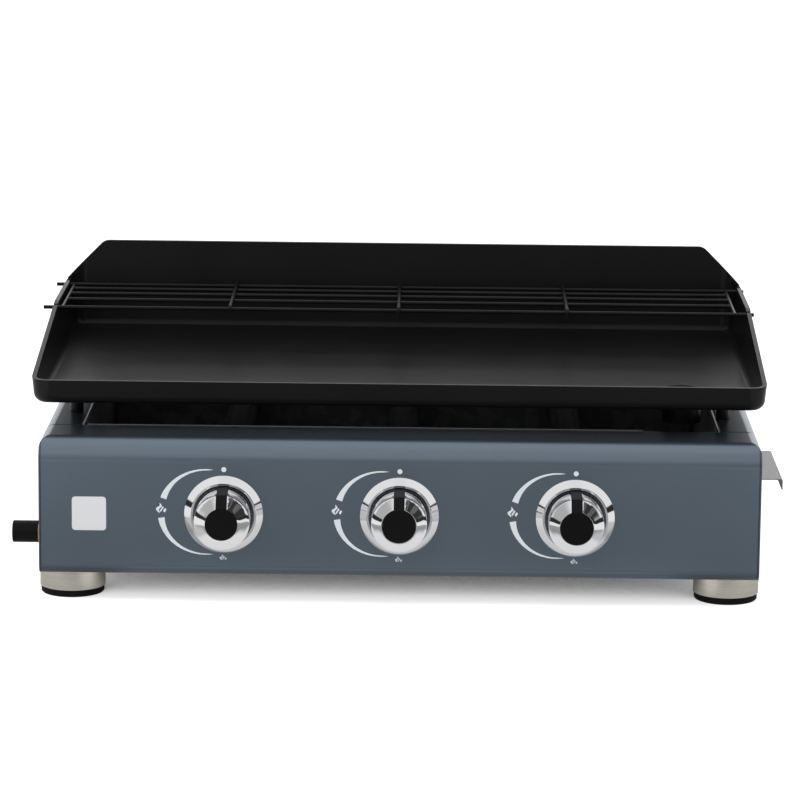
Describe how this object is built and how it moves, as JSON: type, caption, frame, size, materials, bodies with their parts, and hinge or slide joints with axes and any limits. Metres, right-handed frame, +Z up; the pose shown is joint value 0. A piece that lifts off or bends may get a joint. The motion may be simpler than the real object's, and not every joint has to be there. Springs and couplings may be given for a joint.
{
  "type": "gas griddle",
  "caption": "Table-top gas griddle: low painted chassis on rubber-based feet, chromed push-and-turn knobs, lift-off enamelled plate with splash walls, warming rack and slide-out grease tray.",
  "frame": {"origin": "middle of the whole footprint, knobs, inlet cap and tray handle included, at the level the feet stand on", "axes": "+X to the right as seen from the knobs, +Y to the back, +Z up"},
  "size_m": [0.697, 0.4962, 0.2565],
  "materials": {
    "fascia_paint": "glossy blue-grey paint on bent steel sheet",
    "galvanised_sheet": "dull galvanised sheet",
    "burner_steel": "satin steel tube",
    "zinc_fixings": "bright zinc plating",
    "brass": "machined brass",
    "valve_steel": "turned steel",
    "chrome": "bright chrome plate",
    "black_plastic": "satin black plastic",
    "ceramic": null,
    "lead_sleeve": "red silicone sleeve",
    "badge_face": "plain white lacquered plaque, left bare",
    "black_enamel": "satin black vitreous enamel on steel plate",
    "black_wire": "satin black coated wire",
    "tray_steel": "satin stainless sheet",
    "satin_stainless": "satin stainless steel",
    "rubber": "black rubber"
  },
  "bodies": {
    "chassis": {"front_panel": "fascia_paint", "left_side_panel": "fascia_paint", "right_side_panel": "fascia_paint", "rear_panel": "fascia_paint", "base_pan": "galvanised_sheet", "firewall": "galvanised_sheet", "heat_shield": "galvanised_sheet", "burner_rail": "galvanised_sheet", "tray_runners": "galvanised_sheet", "manifold_brackets": "galvanised_sheet", "burner_left": "burner_steel", "burner_centre": "burner_steel", "burner_right": "burner_steel", "gas_manifold": "burner_steel", "burner_nuts": "zinc_fixings", "valve_clamps": "zinc_fixings", "clamp_screws": "zinc_fixings", "foot_bolts": "zinc_fixings", "foot_nuts": "zinc_fixings", "rear_screws": "zinc_fixings", "return_spring_left": "zinc_fixings", "return_spring_centre": "zinc_fixings", "return_spring_right": "zinc_fixings", "injectors": "brass", "inlet_connector": "brass", "valve_body_left": "brass", "valve_body_centre": "brass", "valve_body_right": "brass", "valve_covers": "valve_steel", "knob_bezel_left": "chrome", "knob_bezel_centre": "chrome", "knob_bezel_right": "chrome", "piezo_igniters": "black_plastic", "electrodes": "ceramic", "ignition_leads": "lead_sleeve", "badge_plate": "badge_face", "foot_sleeves": "satin_stainless", "foot_pads": "rubber"},
    "griddle_plate": {"griddle_plate": "black_enamel", "drain_spout": "black_enamel", "plate_standoffs": "black_enamel"},
    "warming_rack": {"warming_rack": "black_wire"},
    "grease_tray": {"grease_tray": "tray_steel"},
    "inlet_cap": {"inlet_cap": "black_plastic"},
    "plug_left": {"valve_plug_left": "brass"},
    "knob_left": {"valve_stem_left": "valve_steel", "knob_body_left": "chrome", "knob_pointer_left": "black_plastic"},
    "plug_centre": {"valve_plug_centre": "brass"},
    "knob_centre": {"valve_stem_centre": "valve_steel", "knob_body_centre": "chrome", "knob_pointer_centre": "black_plastic"},
    "plug_right": {"valve_plug_right": "brass"},
    "knob_right": {"valve_stem_right": "valve_steel", "knob_body_right": "chrome", "knob_pointer_right": "black_plastic"}
  },
  "joints": [
    {"name": "valve_turn_left", "type": "hinge", "parent": "chassis", "child": "plug_left", "pos_m": [-0.1558, -0.2041, 0.081], "axis": [0, -1, 0], "range_deg": [0, 180]},
    {"name": "knob_push_left", "type": "slide", "parent": "plug_left", "child": "knob_left", "axis": [0, 1, 0], "range_m": [0, 0.004], "stiffness_N_per_m": 2000, "springref_m": -0.004, "deforming": ["return_spring_left"]},
    {"name": "valve_turn_centre", "type": "hinge", "parent": "chassis", "child": "plug_centre", "pos_m": [0, -0.2041, 0.081], "axis": [0, -1, 0], "range_deg": [0, 180]},
    {"name": "knob_push_centre", "type": "slide", "parent": "plug_centre", "child": "knob_centre", "axis": [0, 1, 0], "range_m": [0, 0.004], "stiffness_N_per_m": 2000, "springref_m": -0.004, "deforming": ["return_spring_centre"]},
    {"name": "valve_turn_right", "type": "hinge", "parent": "chassis", "child": "plug_right", "pos_m": [0.1558, -0.2041, 0.081], "axis": [0, -1, 0], "range_deg": [0, 180]},
    {"name": "knob_push_right", "type": "slide", "parent": "plug_right", "child": "knob_right", "axis": [0, 1, 0], "range_m": [0, 0.004], "stiffness_N_per_m": 2000, "springref_m": -0.004, "deforming": ["return_spring_right"]},
    {"name": "tray_slide", "type": "slide", "parent": "chassis", "child": "grease_tray", "axis": [1, 0, 0], "range_m": [0, 0.118]},
    {"name": "plate_lift", "type": "slide", "parent": "chassis", "child": "griddle_plate", "axis": [0, 0, 1], "range_m": [0, 0.15]},
    {"name": "rack_lift", "type": "slide", "parent": "griddle_plate", "child": "warming_rack", "axis": [0, 0, 1], "range_m": [0, 0.06]},
    {"name": "cap_pull", "type": "slide", "parent": "chassis", "child": "inlet_cap", "axis": [-1, 0, 0], "range_m": [0, 0.06]}
  ]
}
